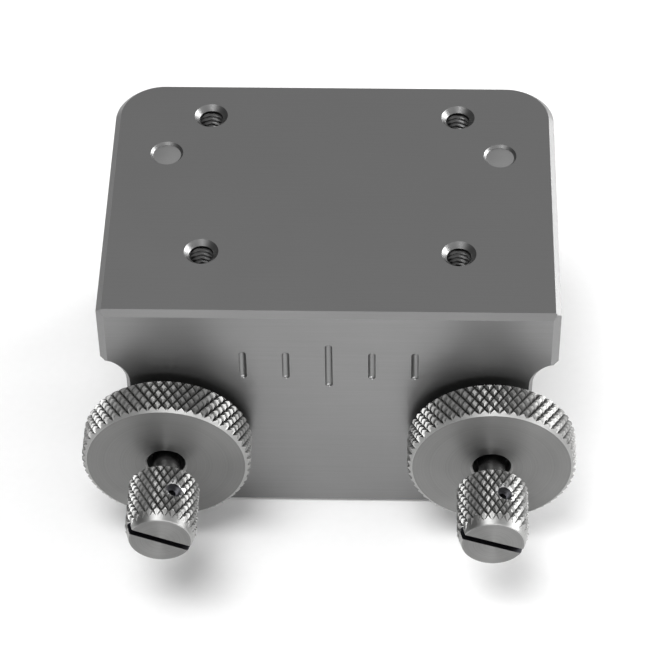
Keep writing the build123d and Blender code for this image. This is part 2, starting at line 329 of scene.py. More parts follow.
@dataclass(frozen=True)
class Thread:
    """A right-hand screw thread on a turned piece.

    Attributes:
        start: Where it starts along the piece.
        end: Where it ends.
        minor: Radius at the root.
        major: Radius at the crest.
        pitch: Advance of a turn.
        rings: Rings of the mesh in a turn.
        flat: Share of half a turn that is level at the root, and again at the crest.
    """

    start: float
    end: float
    minor: float
    major: float
    pitch: float
    rings: int = 8
    flat: float = 0.12

    def outline(self, radius: float) -> list[Point]:
        """Points along the thread for a turned profile, from start to end."""
        count = round(abs(self.end - self.start) / self.pitch * self.rings)
        step = (self.end - self.start) / count
        return [(radius, self.start + number * step) for number in range(count + 1)]

    def roll(self, piece: bpy.types.Object, centre: Sequence[float], from_radius: float) -> None:
        """Moves a turned piece's rings in and out along a true helix.

        Args:
            piece: The turned piece, on an axis along Y.
            centre: The point of the axis that the thread's places are counted from.
            from_radius: Vertices nearer to the axis than this are left alone.
        """
        low, high = sorted((self.start, self.end))
        for vert in piece.data.vertices:
            x, y, z = vert.co.x - centre[0], vert.co.y - centre[1], vert.co.z - centre[2]
            radius = math.hypot(x, z)
            if radius < from_radius or not low < y < high:
                continue
            phase = (y / self.pitch + math.atan2(z, x) / FULL_TURN) % 1.0
            rise = (abs(2 * phase - 1) - self.flat) / (1 - 2 * self.flat)
            groove = self.minor + (self.major - self.minor) * min(1.0, max(0.0, rise))
            fade = min(1.0, (y - low) / self.pitch, (high - y) / self.pitch)
            reach = radius + (groove - radius) * fade
            vert.co.x = centre[0] + x * reach / radius
            vert.co.z = centre[2] + z * reach / radius


def knurled_stock(name: str, radius: float, diamonds: int, row: float, depth: float,
                  rows: int, flat: float, start: Place) -> bpy.types.Object:
    """Solid bar along Y with a diamond knurl: one diamond is modelled and copied.

    Args:
        name: Name of the object.
        radius: Radius over the diamonds.
        diamonds: Number of diamonds round the bar.
        row: Distance between rows, half of a diamond's height.
        depth: Depth of the grooves.
        rows: Number of double rows.
        flat: Size of a diamond's flat top, as a share of the diamond.
        start: Middle of the first row, on the axis.

    Returns:
        The closed bar.
    """
    width = FULL_TURN * radius / diamonds
    deselect()
    bpy.ops.mesh.primitive_circle_add(vertices=4, radius=1.0, fill_type="NGON")
    stock = named(name)
    stock.scale = (width / 2, row, 1.0)
    settle(stock)
    edit_all(stock, "FACE")
    bpy.ops.mesh.extrude_region_move(TRANSFORM_OT_translate={"value": (0, 0, depth)})
    bpy.ops.transform.resize(value=(flat, flat, 1.0), center_override=(0, 0, depth))
    mesh = bmesh.from_edit_mesh(stock.data)
    for face in mesh.faces:
        face.select_set(max(vert.co.z for vert in face.verts) < depth / 2)
    bmesh.update_edit_mesh(stock.data)
    bpy.ops.mesh.delete(type="ONLY_FACE")
    bpy.ops.object.mode_set(mode="OBJECT")
    offsets = (((width / 2, row, 0), 2), ((width, 0, 0), diamonds), ((0, 2 * row, 0), rows))
    for offset, count in offsets:
        apply_modifier(stock, "ARRAY", count=count, use_relative_offset=False,
                       use_constant_offset=True, constant_offset_displace=offset)
    for vert in stock.data.vertices:
        angle = vert.co.x * FULL_TURN / (diamonds * width)
        reach = radius - depth + vert.co.z
        vert.co = (reach * math.cos(angle), vert.co.y, reach * math.sin(angle))
    edit_all(stock)
    bpy.ops.mesh.remove_doubles(threshold=CLOSE)
    for end in (-2 * row, (2 * rows + 1) * row):
        edit_open_edges(stock, end, 1.5 * row)
        bpy.ops.mesh.extrude_region()
        bpy.ops.transform.resize(value=(1, 0, 1), center_override=(0, end, 0))
        bpy.ops.mesh.edge_face_add()
    bpy.ops.object.mode_set(mode="OBJECT")
    stock.location = start
    return clean(settle(stock))


def edit_open_edges(piece: bpy.types.Object, level: float, reach: float) -> None:
    """Opens an object in edit mode with the open edges near a level of Y selected."""
    edit_edges(piece, lambda edge: edge.is_boundary and all(
        abs(vert.co.y - level) < reach for vert in edge.verts))


def dress(piece: bpy.types.Object, material: bpy.types.Material) -> None:
    """Gives a piece, or a CAD node, one finish in place of all it had."""
    piece.data.materials.clear()
    piece.data.materials.append(material)


def fit(piece: bpy.types.Object, body: str, nodes: Sequence[str]) -> None:
    """Puts a finished piece on its body in place of its CAD nodes.

    Args:
        piece: The finished piece.
        body: CAD body that it moves with.
        nodes: CAD nodes that it stands for.
    """
    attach(piece, body)
    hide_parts(*nodes)
    log.info("%s: %d faces on %s", piece.name, len(piece.data.polygons), body)


def corners(node: str) -> tuple[Vector, Vector]:
    """Lowest and highest corner of a CAD node's box."""
    low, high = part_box(node)
    return Vector(low), Vector(high)


def middle(node: str) -> Vector:
    """Middle of a CAD node's box."""
    low, high = corners(node)
    return (low + high) / 2


def radius_of(node: str) -> float:
    """Radius of a round CAD node, which is half of its box's width."""
    low, high = corners(node)
    return (high.x - low.x) / 2


# ----------------------------------------------------------------------------------------
# Finishes
# ----------------------------------------------------------------------------------------

class Bench:
    """Adds and joins the nodes of one material."""

    def __init__(self, name: str) -> None:
        """Starts a material with one Principled shader."""
        self.material = bpy.data.materials.new(name)
        self.material.use_nodes = True
        self.tree = self.material.node_tree
        self.shader = self.tree.nodes["Principled BSDF"]

    def add(self, kind: str, inputs: dict[str, object] | None = None,
            **settings: object) -> bpy.types.Node:
        """Adds a node.

        Args:
            kind: Type of the node, without its ShaderNode prefix.
            inputs: Values or sockets for its inputs.
            settings: Values of its properties.

        Returns:
            The node.
        """
        node = self.tree.nodes.new("ShaderNode" + kind)
        for key, value in settings.items():
            setattr(node, key, value)
        for key, value in (inputs or {}).items():
            self.put(node.inputs[key], value)
        return node

    def put(self, socket: bpy.types.NodeSocket, value: object) -> None:
        """Sets an input to a value, or joins it to another node's output."""
        if isinstance(value, bpy.types.NodeSocket):
            self.tree.links.new(value, socket)
        else:
            socket.default_value = value

    def math(self, operation: str, first: object, second: object = 0.0,
             third: object = 0.0) -> bpy.types.NodeSocket:
        """One sum of up to three numbers or sockets, and its result."""
        node = self.add("Math", operation=operation)
        for socket, value in zip(node.inputs, (first, second, third)):
            self.put(socket, value)
        return node.outputs[0]

    def spread(self, value: bpy.types.NodeSocket, low: float, high: float, to_low: float,
               to_high: float) -> bpy.types.NodeSocket:
        """Maps a range of a socket's value to another range, clamped."""
        node = self.add("MapRange", {"Value": value, "From Min": low, "From Max": high,
                                     "To Min": to_low, "To Max": to_high})
        return node.outputs["Result"]

    def noise(self, vector: bpy.types.NodeSocket, stretch: Place, detail: float = 2.0,
              roughness: float = 0.5) -> bpy.types.NodeSocket:
        """Noise with its own frequency along each axis.

        Args:
            vector: Coordinates in metres.
            stretch: Cells in a metre along X, Y and Z.
            detail: Number of finer layers.
            roughness: Weight of the finer layers.

        Returns:
            The noise, from 0 to 1.
        """
        mapping = self.add("Mapping", {"Vector": vector, "Scale": stretch})
        noise = self.add("TexNoise", {"Vector": mapping.outputs[0], "Scale": 1.0,
                                      "Detail": detail, "Roughness": roughness})
        return noise.outputs["Fac"]

    def blend(self, factor: object, first: object, second: object) -> bpy.types.NodeSocket:
        """Blends two colours."""
        node = self.add("Mix", data_type="RGBA")
        wanted = (("Factor", "VALUE", factor), ("A", "RGBA", first), ("B", "RGBA", second))
        for name, kind, value in wanted:
            socket = next(item for item in node.inputs if item.name == name and item.type == kind)
            self.put(socket, value)
        return next(item for item in node.outputs if item.type == "RGBA")


@dataclass(frozen=True)
class MetalFinish:
    """A machined metal finish with tool marks, uneven tone and worn edges, and, where set, painted
    shade in knurl grooves and on faces square to the axis.

    Attributes:
        name: Name of the material.
        tone: Colour of the metal.
        roughness: Middle roughness.
        grain: Direction of the tool marks.
        across: Width of a mark.
        along: Length of a mark.
        depth: Height of the marks.
        contrast: How much the marks change the tone, from 0 to 1.
        anisotropy: How far highlights are drawn out across the marks.
        edge: Width of the worn edges.
        groove: Depth over which painted shade darkens the grooves of a knurl, or 0.
        painted_face_shade: Painted shade on the faces square to the axis, as a share of the rest's
            tone.
    """

    name: str
    tone: Place
    roughness: float = 0.35
    grain: Grain = Grain.BRUSHED
    across: float = 0.16 * MM
    along: float = 14.0 * MM
    depth: float = 0.004 * MM
    contrast: float = 0.2
    anisotropy: float = 0.0
    edge: float = 0.12 * MM
    groove: float = 0.0
    painted_face_shade: float = 1.0

    def material(self, centre: Sequence[float] = (0, 0, 0), suffix: str = "",
                 outer: float = 0.0, knurl_start: float = 0.0) -> bpy.types.Material:
        """Builds the finish.

        Args:
            centre: A point of the axis that turned marks go round.
            suffix: Added to the material's name.
            outer: Radius over the knurl, where there is one.
            knurl_start: Where the knurl starts along Y, counted from the centre.

        Returns:
            The material.
        """
        bench = Bench(self.name + suffix)
        coordinates = bench.add("TexCoord")
        marks = self._marks(bench, coordinates, centre)
        cloud = bench.noise(coordinates.outputs["Object"], (90, 90, 90), 3.0)
        worn = self._worn_edges(bench)
        share = bench.math("MULTIPLY_ADD", cloud, 1 - MARKS_SHARE,
                           bench.math("MULTIPLY", marks, MARKS_SHARE))

        shade = bench.blend(bench.spread(share, 0.3, 0.7, 0.0, 1.0),
                            self._tinted(1 - self.contrast), self._tinted(1 + self.contrast))
        colour = bench.blend(worn, shade, self._tinted(WORN_TONE))
        # Painted shade: a knurl's grooves are darkened towards their bottoms.
        if self.groove:
            groove_shade = self._groove_grime(bench, coordinates, centre, outer, knurl_start)
            colour = bench.blend(groove_shade, colour, self._tinted(GROOVE_SHADE_TONE))
        # Painted shade: faces that look along the axis are darkened by their facing.
        if self.painted_face_shade < 1.0:
            colour = self._toned_faces(bench, coordinates, colour)
        bench.put(bench.shader.inputs["Base Color"], colour)

        rough = bench.spread(share, 0.25, 0.75, self.roughness + ROUGHNESS_SPREAD,
                             self.roughness - ROUGHNESS_SPREAD)
        rough = bench.math("MULTIPLY", rough, bench.spread(worn, 0.0, 1.0, 1.0, WORN_ROUGHNESS))
        bench.put(bench.shader.inputs["Roughness"], rough)
        bench.shader.inputs["Metallic"].default_value = 1.0
        if self.anisotropy:
            self._draw_out_highlights(bench, coordinates)
        bump = bench.add("Bump", {"Height": marks, "Distance": self.depth, "Strength": 1.0})
        bench.put(bench.shader.inputs["Normal"], bump.outputs[0])
        return bench.material

    def _tinted(self, share: float) -> tuple[float, float, float, float]:
        """The metal's colour, lighter or darker by a share."""
        return (*(min(1.0, value * share) for value in self.tone), 1)

    def _toned_faces(self, bench: Bench, coordinates: bpy.types.Node,
                     colour: bpy.types.NodeSocket) -> bpy.types.NodeSocket:
        """Colour with painted shade on the faces square to the axis, darkened to their share."""
        facing = bench.add("SeparateXYZ", {"Vector": coordinates.outputs["Normal"]})
        square = bench.spread(bench.math("ABSOLUTE", facing.outputs["Y"]), 0.9, 0.97,
                              1.0, self.painted_face_shade)
        scaled = bench.add("VectorMath", operation="SCALE")
        bench.put(scaled.inputs[0], colour)
        bench.put(scaled.inputs["Scale"], square)
        return scaled.outputs[0]

    def _draw_out_highlights(self, bench: Bench, coordinates: bpy.types.Node) -> None:
        """Draws highlights out square to the tool marks."""
        bench.shader.inputs["Anisotropic"].default_value = self.anisotropy
        if self.grain is Grain.TURNED:
            tangent = bench.add("Tangent", direction_type="RADIAL", axis="Y").outputs[0]
            bench.shader.inputs["Anisotropic Rotation"].default_value = QUARTER_TURN
        else:
            cross = bench.add("VectorMath", operation="CROSS_PRODUCT")
            bench.put(cross.inputs[0], coordinates.outputs["Normal"])
            cross.inputs[1].default_value = (1.0, 0.02, 0.01)
            tangent = cross.outputs[0]
        bench.put(bench.shader.inputs["Tangent"], tangent)

    def _marks(self, bench: Bench, coordinates: bpy.types.Node,
               centre: Sequence[float]) -> bpy.types.NodeSocket:
        """Tool marks of this finish, from 0 to 1."""
        vector = coordinates.outputs["Object"]
        fine, slow = 1 / self.across, 1 / self.along
        if self.grain is Grain.TURNED:
            radius, height = self._radius(bench, coordinates, centre)
            ring = bench.add("CombineXYZ", {"X": radius, "Y": height, "Z": 0.0})
            rings = bench.noise(ring.outputs[0], (fine, fine, 1.0), 3.0, 0.6)
            patches = bench.noise(vector, (slow, slow, slow), 1.0)
            return bench.math("MULTIPLY_ADD", rings, RINGS_SHARE,
                              bench.math("MULTIPLY", patches, 1 - RINGS_SHARE))
        strokes = bench.noise(vector, (slow, fine, fine), 4.0, 0.6)
        side_strokes = bench.noise(vector, (fine, slow, fine), 4.0, 0.6)
        facing = bench.add("SeparateXYZ", {"Vector": coordinates.outputs["Normal"]})
        on_side = bench.math("GREATER_THAN", bench.math("ABSOLUTE", facing.outputs["X"]), 0.8)
        difference = bench.math("SUBTRACT", side_strokes, strokes)
        return bench.math("MULTIPLY_ADD", difference, on_side, strokes)

    def _radius(self, bench: Bench, coordinates: bpy.types.Node,
                centre: Sequence[float]) -> tuple[bpy.types.NodeSocket, bpy.types.NodeSocket]:
        """Distance from the piece's own axis, and place along it."""
        offset = bench.add("Mapping", {"Vector": coordinates.outputs["Object"],
                                       "Location": tuple(-value for value in centre)})
        parts = bench.add("SeparateXYZ", {"Vector": offset.outputs[0]})
        across = bench.math("POWER", parts.outputs["X"], 2.0)
        upwards = bench.math("POWER", parts.outputs["Z"], 2.0)
        return bench.math("SQRT", bench.math("ADD", across, upwards)), parts.outputs["Y"]

    def _groove_grime(self, bench: Bench, coordinates: bpy.types.Node,
                      centre: Sequence[float], outer: float,
                      knurl_start: float) -> bpy.types.NodeSocket:
        """Share of painted shade, which is 1 at the bottom of a knurl's grooves and 0 on its
        diamonds.
        """
        radius, height = self._radius(bench, coordinates, centre)
        depth = bench.spread(radius, outer - GROOVE_SHADE_FULL * self.groove,
                             outer - GROOVE_SHADE_GONE * self.groove, 1.0, 0.0)
        depth = bench.math("MULTIPLY", depth, bench.math("GREATER_THAN", height, knurl_start))
        facing = bench.add("SeparateXYZ", {"Vector": coordinates.outputs["Normal"]})
        on_rim = bench.math("LESS_THAN", bench.math("ABSOLUTE", facing.outputs["Y"]), 0.75)
        patchy = bench.spread(bench.noise(coordinates.outputs["Object"], (700, 700, 700), 2.0),
                              0.3, 0.7, 0.75, 1.0)
        return bench.math("MULTIPLY", bench.math("MULTIPLY", depth, on_rim), patchy)

    def _worn_edges(self, bench: Bench) -> bpy.types.NodeSocket:
        """Share of wear, which is 1 along sharp edges and 0 on faces."""
        rounded = bench.add("Bevel", {"Radius": self.edge}, samples=4)
        true = bench.add("NewGeometry")
        dot = bench.add("VectorMath", operation="DOT_PRODUCT")
        bench.put(dot.inputs[0], rounded.outputs[0])
        bench.put(dot.inputs[1], true.outputs["Normal"])
        return bench.spread(dot.outputs["Value"], 0.995, 0.9, 0.0, 0.8)


@dataclass(frozen=True)
class MouldedFinish:
    """A moulded plastic with a fine grain.

    Attributes:
        name: Name of the material.
        tone: Colour of the plastic.
        roughness: Middle roughness.
    """

    name: str
    tone: Place
    roughness: float = 0.45

    def material(self) -> bpy.types.Material:
        """Builds the finish."""
        bench = Bench(self.name)
        vector = bench.add("TexCoord").outputs["Object"]
        grain = bench.noise(vector, (5000, 5000, 5000), 2.0)
        cloud = bench.noise(vector, (120, 120, 120), 3.0)
        dark = (*(value * 0.82 for value in self.tone), 1)
        bench.put(bench.shader.inputs["Base Color"], bench.blend(cloud, dark, (*self.tone, 1)))
        bench.put(bench.shader.inputs["Roughness"],
                  bench.spread(grain, 0.2, 0.8, self.roughness - 0.08, self.roughness + 0.1))
        bump = bench.add("Bump", {"Height": grain, "Distance": 0.01 * MM, "Strength": 0.5})
        bench.put(bench.shader.inputs["Normal"], bump.outputs[0])
        return bench.material


BLOCK_FINISH = MetalFinish("block_aluminium", (0.225, 0.225, 0.225), 0.36, contrast=0.05,
                           anisotropy=0.4)
JAW_FINISH = MetalFinish("jaw_aluminium", (0.36, 0.36, 0.36), 0.38, contrast=0.12)
# The knurled finish paints shade into its knurl grooves and onto its faces square to the axis.
WHEEL_FINISH = MetalFinish("knurled_metal", (0.35, 0.35, 0.345), 0.46, Grain.TURNED,
                           across=0.09 * MM, along=6.0 * MM, depth=0.002 * MM, contrast=0.16,
                           anisotropy=0.7, groove=0.5 * MM, painted_face_shade=0.58)
# A dark finish that paints shade inside the tapped holes.
HOLE_SHADE_FINISH = MetalFinish("tapped_hole_painted_shade", (0.13, 0.13, 0.13), 0.30, Grain.TURNED,
                            across=0.10 * MM, along=4.0 * MM, contrast=0.3)
STEEL_FINISH = MetalFinish("screw_steel", (0.30, 0.30, 0.30), 0.24, Grain.TURNED,
                           across=0.08 * MM, along=5.0 * MM, contrast=0.2)
PIN_FINISH = MetalFinish("pin_steel", (0.40, 0.40, 0.40), 0.30, Grain.TURNED,
                         across=0.06 * MM, along=5.0 * MM, depth=0.001 * MM, contrast=0.12)
BRASS_FINISH = MetalFinish("bush_brass", (0.46, 0.35, 0.17), 0.30, Grain.TURNED,
                           across=0.08 * MM, along=5.0 * MM, contrast=0.15)
DARK_FINISH = MetalFinish("dark_steel", (0.09, 0.09, 0.10), 0.35, Grain.TURNED,
                          across=0.07 * MM, along=4.0 * MM, contrast=0.3)
PAD_FINISH = MouldedFinish("pad_nylon", (0.78, 0.77, 0.72))
TIP_FINISH = MouldedFinish("tip_nylon", (0.80, 0.79, 0.74))


# ----------------------------------------------------------------------------------------
# Sub-assemblies
# ----------------------------------------------------------------------------------------

@dataclass
class Block:
    """The block that everything is mounted in: a plate on a front and a rear wall."""

    edge_chamfer: float = 0.8 * MM
    upright_chamfer: float = 1.1 * MM
    wall_chamfer: float = 0.5 * MM
    rear_corner: float = 7.0 * MM
    plate_edge: float = 10.0 * MM
    wall_half: float = 28.5 * MM
    rebate_radius: float = 4.0 * MM
    channel_roof: float = 12.0 * MM
    channel_radius: float = 1.5 * MM
    front_wall: float = 6.5 * MM
    rear_wall: float = 7.0 * MM
    hole_x: float = 18.0 * MM
    hole_y: float = 13.75 * MM
    hole_radius: float = 1.725 * MM
    thread_radius: float = 2.1 * MM
    thread_pitch: float = 0.79 * MM
    thread_front: float = 0.1 * MM
    thread_rear: float = 0.8 * MM
    hole_depth: float = 8.5 * MM
    hole_sink: float = 2.42 * MM
    hole_reach: float = 2.4 * MM
    drill_point: float = 0.6
    drill_rise: float = 0.5 * MM
    post_sink: float = 2.35 * MM
    post_depth: float = 14.0 * MM
    bush_radius: float = 5.0 * MM
    scale_step: float = 6.0 * MM
    stroke_radius: float = 0.62 * MM
    stroke_depth: float = 0.3 * MM
    middle_stroke: Point = (-6.6 * MM, -14.2 * MM)
    side_stroke: Point = (-8.2 * MM, -12.6 * MM)

    def __post_init__(self) -> None:
        """Takes the block's corners from the CAD."""
        self.low, self.high = corners("body")

    def build(self) -> bpy.types.Object:
        """Models the block."""
        block = box_stock("block", self.low, self.high)
        self._round_and_chamfer(block)
        self._cut_rebates(block)
        self._cut_channel(block)
        self._chamfer_walls(block)
        self._score(block)
        tools = [*self._top_drills(), *self._wall_drills(), *self._scale_strokes()]
        combine(block, join(tools), "DIFFERENCE")
        clean(block)
        return smooth(block)

    def _round_and_chamfer(self, block: bpy.types.Object) -> None:
        """Rounds the rear corners and chamfers the plate's outline and front corners."""
        low, high = self.low, self.high

        def upright(edge: bmesh.types.BMEdge) -> bool:
            """Whether an edge stands along Z."""
            first, second = edge.verts
            return abs(first.co.z - second.co.z) > self.plate_edge

        def at_top(edge: bmesh.types.BMEdge) -> bool:
            """Whether an edge lies in the top face."""
            return all(abs(vert.co.z - high.z) < CLOSE for vert in edge.verts)

        bevel_edges(block, lambda edge: upright(edge) and edge.verts[0].co.y > high.y - MM,
                    self.rear_corner, 20)
        bevel_edges(block, at_top, self.edge_chamfer)
        bevel_edges(block, lambda edge: upright(edge) and edge.verts[0].co.y < low.y + CLOSE,
                    self.upright_chamfer)

    def _cut_rebates(self, block: bpy.types.Object) -> None:
        """Cuts the rebates along both sides, which leave the walls narrower than the plate."""
        low, high = self.low, self.high
        cutters = []
        for side in Side:
            outer = side.value * (high.x + OVERSHOOT)
            inner = side.value * self.wall_half
            cutter = box_stock(
                "rebate", (min(outer, inner), low.y - OVERSHOOT, low.z - OVERSHOOT),
                (max(outer, inner), high.y + OVERSHOOT, -self.plate_edge))
            bevel_edges(cutter, lambda edge: all(
                abs(vert.co.x - inner) < CLOSE and abs(vert.co.z + self.plate_edge) < CLOSE
                for vert in edge.verts), self.rebate_radius, 10)
            cutters.append(cutter)
        combine(block, join(cutters), "DIFFERENCE")

    def _cut_channel(self, block: bpy.types.Object) -> None:
        """Cuts the clamp channel between the two walls."""
        low, high = self.low, self.high
        cutter = box_stock(
            "channel", (low.x - OVERSHOOT, low.y + self.front_wall, low.z - OVERSHOOT),
            (high.x + OVERSHOOT, high.y - self.rear_wall, -self.channel_roof))
        bevel_edges(cutter, lambda edge: all(
            abs(vert.co.z + self.channel_roof) < CLOSE for vert in edge.verts)
            and abs(edge.verts[0].co.x - edge.verts[1].co.x) > MM, self.channel_radius, 6)
        combine(block, cutter, "DIFFERENCE")

    def _chamfer_walls(self, block: bpy.types.Object) -> None:
        """Chamfers the front wall's lower outline and the rear wall's bottom edge."""
        low, high = self.low, self.high

        def lower_front(edge: bmesh.types.BMEdge) -> bool:
            """Whether an edge bounds the front face below the plate's edge."""
            return all(abs(vert.co.y - low.y) < CLOSE and vert.co.z < CLOSE - self.plate_edge
                       for vert in edge.verts)

        def rear_bottom(edge: bmesh.types.BMEdge) -> bool:
            """Whether an edge is the rear wall's bottom edge."""
            return all(abs(vert.co.y - high.y) < CLOSE and abs(vert.co.z - low.z) < CLOSE
                       for vert in edge.verts)

        bevel_edges(block, lower_front, self.wall_chamfer)
        bevel_edges(block, rear_bottom, self.wall_chamfer)

    def _score(self, block: bpy.types.Object) -> None:
        """Divides the faces through the middle of each hole and stroke.

        No hole then lies inside one undivided face.
        """
        places = {0.0, self.hole_x, self.scale_step, 2 * self.scale_step}
        for node in ("right_wall_bush", "right_locating_post", "right_guide_rod"):
            places.add(middle(node).x)
        edit_all(block, "FACE")
        for x in sorted({sign * place for place in places for sign in (-1, 1)}):
            bpy.ops.mesh.select_all(action="SELECT")
            bpy.ops.mesh.bisect(plane_co=(x, 0, 0), plane_no=(1, 0, 0))
        bpy.ops.object.mode_set(mode="OBJECT")

    def _hole_places(self) -> list[Point]:
        """Places of the four tapped holes in the top face."""
        return [(x, y) for x in (-self.hole_x, self.hole_x) for y in (-self.hole_y, self.hole_y)]

    def _top_drills(self) -> list[bpy.types.Object]:
        """Shapes of the four tapped holes, with their threads, and of the posts' holes."""
        minor, sink, above = self.hole_radius, self.hole_sink, self.drill_rise
        thread = Thread(minor - sink - self.thread_front, self.thread_rear - self.hole_depth,
                        minor, self.thread_radius, self.thread_pitch)
        drills = []
        for x, y in self._hole_places():
            drill = turn_piece("tap", [
                (0, above), (sink + above, above), (minor, minor - sink), *thread.outline(minor),
                (minor, -self.hole_depth), (0, -self.hole_depth - self.drill_point * minor)],
                (0, 0, 0), 48)
            thread.roll(drill, (0, 0, 0), 0.5 * minor)
            drills.append(self._stand_at(drill, x, y))
        for side in Side:
            post = f"{side.label}_locating_post"
            radius = radius_of(post)
            drill = turn_piece("drill", [
                (0, above), (self.post_sink + above, above), (radius, radius - self.post_sink),
                (radius, -self.post_depth), (0, -self.post_depth)], (0, 0, 0), 48)
            centre = middle(post)
            drills.append(self._stand_at(drill, centre.x, centre.y))
        return drills

    def _stand_at(self, drill: bpy.types.Object, x: float, y: float) -> bpy.types.Object:
        """Stands a drill that lies along Y upright at a place of the top face."""
        drill.rotation_euler = (math.pi / 2, 0, 0)
        drill.location = (x, y, self.high.z)
        return settle(drill)

    def _wall_drills(self) -> list[bpy.types.Object]:
        """Shapes of the bushes' seats and of the guide rods' holes."""
        drills = []
        for side in Side:
            bush = middle(f"{side.label}_wall_bush")
            end = self.front_wall + MM
            drills.append(turn_piece("seat", [
                (0, -OVERSHOOT), (self.bush_radius, -OVERSHOOT), (self.bush_radius, end),
                (0, end)], (bush.x, self.low.y, bush.z), 96))
            rod = f"{side.label}_guide_rod"
            low, high = corners(rod)
            radius = radius_of(rod)
            length = self.high.y + OVERSHOOT - low.y
            drills.append(turn_piece("hole", [(0, 0), (radius, 0), (radius, length), (0, length)],
                                     ((low.x + high.x) / 2, low.y, (low.z + high.z) / 2), 48))
        return drills

    def _scale_strokes(self) -> list[bpy.types.Object]:
        """Shapes of a centring scale of five round-bottomed strokes in the front wall."""
        front = self.low.y - self.stroke_radius + self.stroke_depth
        strokes = []
        for number in range(-2, 3):
            top, bottom = self.side_stroke if number else self.middle_stroke
            deselect()
            bpy.ops.mesh.primitive_uv_sphere_add(segments=24, ring_count=15,
                                                 radius=self.stroke_radius)
            stroke = named("stroke")
            edit_all(stroke)
            mesh = bmesh.from_edit_mesh(stroke.data)
            for vert in mesh.verts:
                vert.co.z += top if vert.co.z > 0 else bottom
            bmesh.update_edit_mesh(stroke.data)
            bpy.ops.object.mode_set(mode="OBJECT")
            stroke.location = (number * self.scale_step, front, 0)
            strokes.append(settle(stroke))
        return strokes

    def dress(self, block: bpy.types.Object) -> None:
        """Finishes the block, paints shade into its tapped holes with a dark second finish, and
        puts it on its body.
        """
        dress(block, BLOCK_FINISH.material())
        block.data.materials.append(HOLE_SHADE_FINISH.material())
        # Painted shade: faces inside the tapped holes take the dark second finish.
        below_sink = self.hole_radius - self.hole_sink - SKIN
        for face in block.data.polygons:
            near = any(math.hypot(face.center.x - x, face.center.y - y) < self.hole_reach
                       for x, y in self._hole_places())
            if near and MM - self.channel_roof < face.center.z < below_sink:
                face.material_index = 1
        fit(block, "block", ["body"])


@dataclass
class WheelUnit:
    """A knurled hand wheel with its hollow screw.

    Attributes:
        side: Side of the holder that it is on.
    """

    side: Side
    diamonds: int = 54
    row: float = 1.0 * MM
    groove: float = 0.5 * MM
    flat: float = 0.40
    face_inset: float = 0.5 * MM
    face_radius: float = 11.2 * MM
    back_chamfer: float = 0.4 * MM
    bore: float = 2.75 * MM
    seat_depth: float = 2.5 * MM
    screw_pitch: float = 1.0 * MM
    screw_bore: float = 2.2 * MM
    screw_edge: float = 0.2 * MM
    shank: float = 2.4 * MM
    thread_start: float = 2.8 * MM
    thread_depth: float = 0.55 * MM
    shoulder: float = 16.35 * MM
    neck: float = 2.9 * MM
    collar: float = 3.8 * MM
    collar_start: float = 18.15 * MM
    bore_edge: float = 0.25 * MM

    def build_wheel(self) -> bpy.types.Object:
        """Models the wheel: knurled stock, faced and chamfered, bored and counterbored."""
        node = f"{self.side.label}_wheel"
        low, high = corners(node)
        axis = middle(node)
        radius = radius_of(node)
        screw = radius_of(f"{self.side.label}_hollow_screw")
        thickness = high.y - low.y
        first = low.y - 0.95 * self.row
        wheel = knurled_stock(f"{self.side.label}_hand_wheel", radius, self.diamonds, self.row,
                              self.groove, 5, self.flat, (axis.x, first, axis.z))
        slope = (radius - self.face_radius) / self.face_inset
        outer = radius + ENVELOPE_OVERSHOOT
        front_reach = (outer - self.face_radius) / slope
        back_reach = outer - radius + self.back_chamfer
        seat = thickness - self.seat_depth
        envelope = turn_piece("envelope", [
            (self.bore, self.bore_edge), (self.bore + self.bore_edge, 0), (self.face_radius, 0),
            (outer, front_reach), (outer, thickness - back_reach),
            (outer - back_reach, thickness), (screw, thickness), (screw, seat),
            (self.bore, seat)], (axis.x, low.y, axis.z), 144)
        combine(wheel, envelope, "INTERSECT")
        clean(wheel)
        return smooth(wheel, 25)

    def build_screw(self) -> bpy.types.Object:
        """Models the hollow screw: thread, neck and collar on one bored bar."""
        node = f"{self.side.label}_hollow_screw"
        low, high = corners(node)
        axis = middle(node)
        radius = radius_of(node)
        length = high.y - low.y
        bore, edge, start = self.screw_bore, self.screw_edge, self.collar_start
        runout = 0.5 * MM
        thread = Thread(self.thread_start, self.shoulder - runout, radius - self.thread_depth,
                        radius, self.screw_pitch)
        screw = turn_piece(f"{self.side.label}_threaded_sleeve", [
            (bore, edge), (bore + edge, 0), (radius - edge, 0), (radius, edge),
            (radius, self.shank), *thread.outline(radius - 0.05 * MM),
            (radius - runout, self.shoulder), (self.neck, self.shoulder), (self.neck, start),
            (self.collar - edge, start), (self.collar, start + edge),
            (self.collar, length - edge), (self.collar - edge, length), (bore + edge, length),
            (bore, length - edge)], (axis.x, low.y, axis.z), 72)
        thread.roll(screw, (axis.x, low.y, axis.z), radius - 0.3 * MM)
        return smooth(screw)

    def dress(self, wheel: bpy.types.Object, screw: bpy.types.Object) -> None:
        """Finishes the wheel and the screw and puts them on their body."""
        label = self.side.label
        low, _ = corners(f"{label}_wheel")
        centre = middle(f"{label}_wheel")
        knurl_start = self.face_inset - (centre.y - low.y)
        dress(wheel, WHEEL_FINISH.material(centre, f"_{label}_wheel", radius_of(f"{label}_wheel"),
                                           knurl_start))
        fit(wheel, f"{label}_wheel", [f"{label}_wheel"])
        dress(screw, STEEL_FINISH.material(middle(f"{label}_hollow_screw"), f"_{label}_sleeve"))
        fit(screw, f"{label}_wheel", [f"{label}_hollow_screw"])


